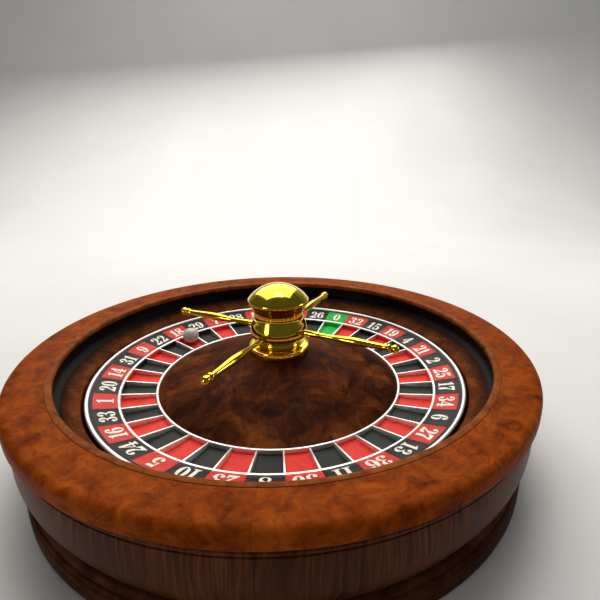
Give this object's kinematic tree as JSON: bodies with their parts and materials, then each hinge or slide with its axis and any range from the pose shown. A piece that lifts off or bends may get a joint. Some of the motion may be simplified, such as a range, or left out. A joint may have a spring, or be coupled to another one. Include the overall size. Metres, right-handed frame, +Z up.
{
  "type": "roulette wheel",
  "caption": "Roulette wheel with a mahogany bowl and ball track, a free-turning rotor with numbered pockets and frets, a brass turret with cross handles, and its ball.",
  "frame": {"origin": "on the wheel's axis at the table top that the rubber feet stand on", "axes": "+Z up along the rotor's spindle; the player's side is -Y"},
  "size_m": [0.5, 0.5, 0.1616],
  "materials": {
    "mahogany_burr_dark": "burr mahogany veneer, gloss lacquer",
    "polished_brass": "mirror polished, lacquered",
    "ball_ivory": "ivory-coloured, satin",
    "black_lacquer_wood": "black lacquer, satin",
    "plywood": "sealed birch plywood",
    "mahogany": "stained mahogany, gloss lacquer",
    "bearing_steel": "ground",
    "cage_brass": "pressed",
    "spring_steel": "phosphated",
    "machined_steel": "turned",
    "mahogany_burr": "burr mahogany veneer, gloss lacquer",
    "zinc_steel": "bright zinc plate",
    "black_lacquer": "black lacquer, gloss",
    "polished_silver": "polished plate",
    "green_enamel": "enamel",
    "black_enamel": "enamel",
    "red_enamel": "enamel",
    "black_pocket": "satin",
    "green_pocket": "satin",
    "red_pocket": "satin",
    "mahogany_lip": "turned hardwood, satin lacquer",
    "mahogany_cone": "burr mahogany veneer, satin lacquer",
    "machined_aluminium": "turned",
    "plywood_stained": "stained, satin",
    "black_rubber": "matt moulded rubber"
  },
  "bodies": {
    "bowl": {"rubber_feet": "black_rubber", "foot_screws": "zinc_steel", "base_board": "plywood", "base_moulding": "mahogany", "bowl_wall": "mahogany", "bowl_rim": "mahogany_burr", "rim_lip": "mahogany_lip", "ball_track": "black_lacquer_wood", "apron": "mahogany_burr_dark", "rotor_well": "plywood_stained", "spindle_plate": "machined_steel", "plate_screws": "zinc_steel", "spindle": "machined_steel", "spindle_washer": "zinc_steel", "spindle_nut": "zinc_steel", "bearing_spacer": "machined_steel", "spindle_top_nut": "zinc_steel", "lower_bearing_inner_ring": "bearing_steel", "upper_bearing_inner_ring": "bearing_steel"},
    "bearing_cages": {"bearing_balls": "bearing_steel", "bearing_cages": "cage_brass"},
    "ball": {"ball": "ball_ivory"},
    "rotor": {"arm_1": "polished_brass", "arm_2": "polished_brass", "arm_3": "polished_brass", "arm_4": "polished_brass", "arm_tips": "polished_brass", "bearing_circlip": "spring_steel", "cone_screws": "zinc_steel", "edge_band": "black_lacquer", "frets": "polished_silver", "hub_screws": "zinc_steel", "inner_fret_ring": "polished_silver", "lower_bearing_outer_ring": "bearing_steel", "number_plate_green": "green_enamel", "number_plates_black": "black_enamel", "number_plates_red": "red_enamel", "number_ring": "black_lacquer", "outer_bead": "polished_silver", "outer_fret_ring": "polished_silver", "pocket_backs_black": "black_pocket", "pocket_backs_green": "green_pocket", "pocket_backs_red": "red_pocket", "pocket_bed": "black_lacquer", "pocket_floors_black": "black_pocket", "pocket_floors_green": "green_pocket", "pocket_floors_red": "red_pocket", "ring_screws": "zinc_steel", "rotor_cone": "mahogany_cone", "rotor_disc": "plywood", "rotor_hub": "machined_aluminium", "tie_rod": "zinc_steel", "turret_collar": "polished_brass", "turret_dome": "polished_brass", "turret_foot": "polished_brass", "turret_lower_neck": "polished_brass", "turret_middle": "polished_brass", "turret_upper_neck": "polished_brass", "upper_bearing_outer_ring": "bearing_steel"}
  },
  "joints": [
    {"name": "rotor_spin", "type": "hinge", "parent": "bowl", "child": "rotor", "pos_m": [0, 0, 0.0355], "axis": [0, 0, 1], "continuous": true},
    {"name": "cage_spin", "type": "hinge", "parent": "bowl", "child": "bearing_cages", "pos_m": [0, 0, 0.0355], "axis": [0, 0, 1], "continuous": true},
    {"name": "ball_lift", "type": "slide", "parent": "rotor", "child": "ball", "axis": [0, 0, 1], "range_m": [0, 0.06]}
  ],
  "couplings": [
    {"joint": "cage_spin", "follows": "rotor_spin", "ratio": 0.6}
  ]
}
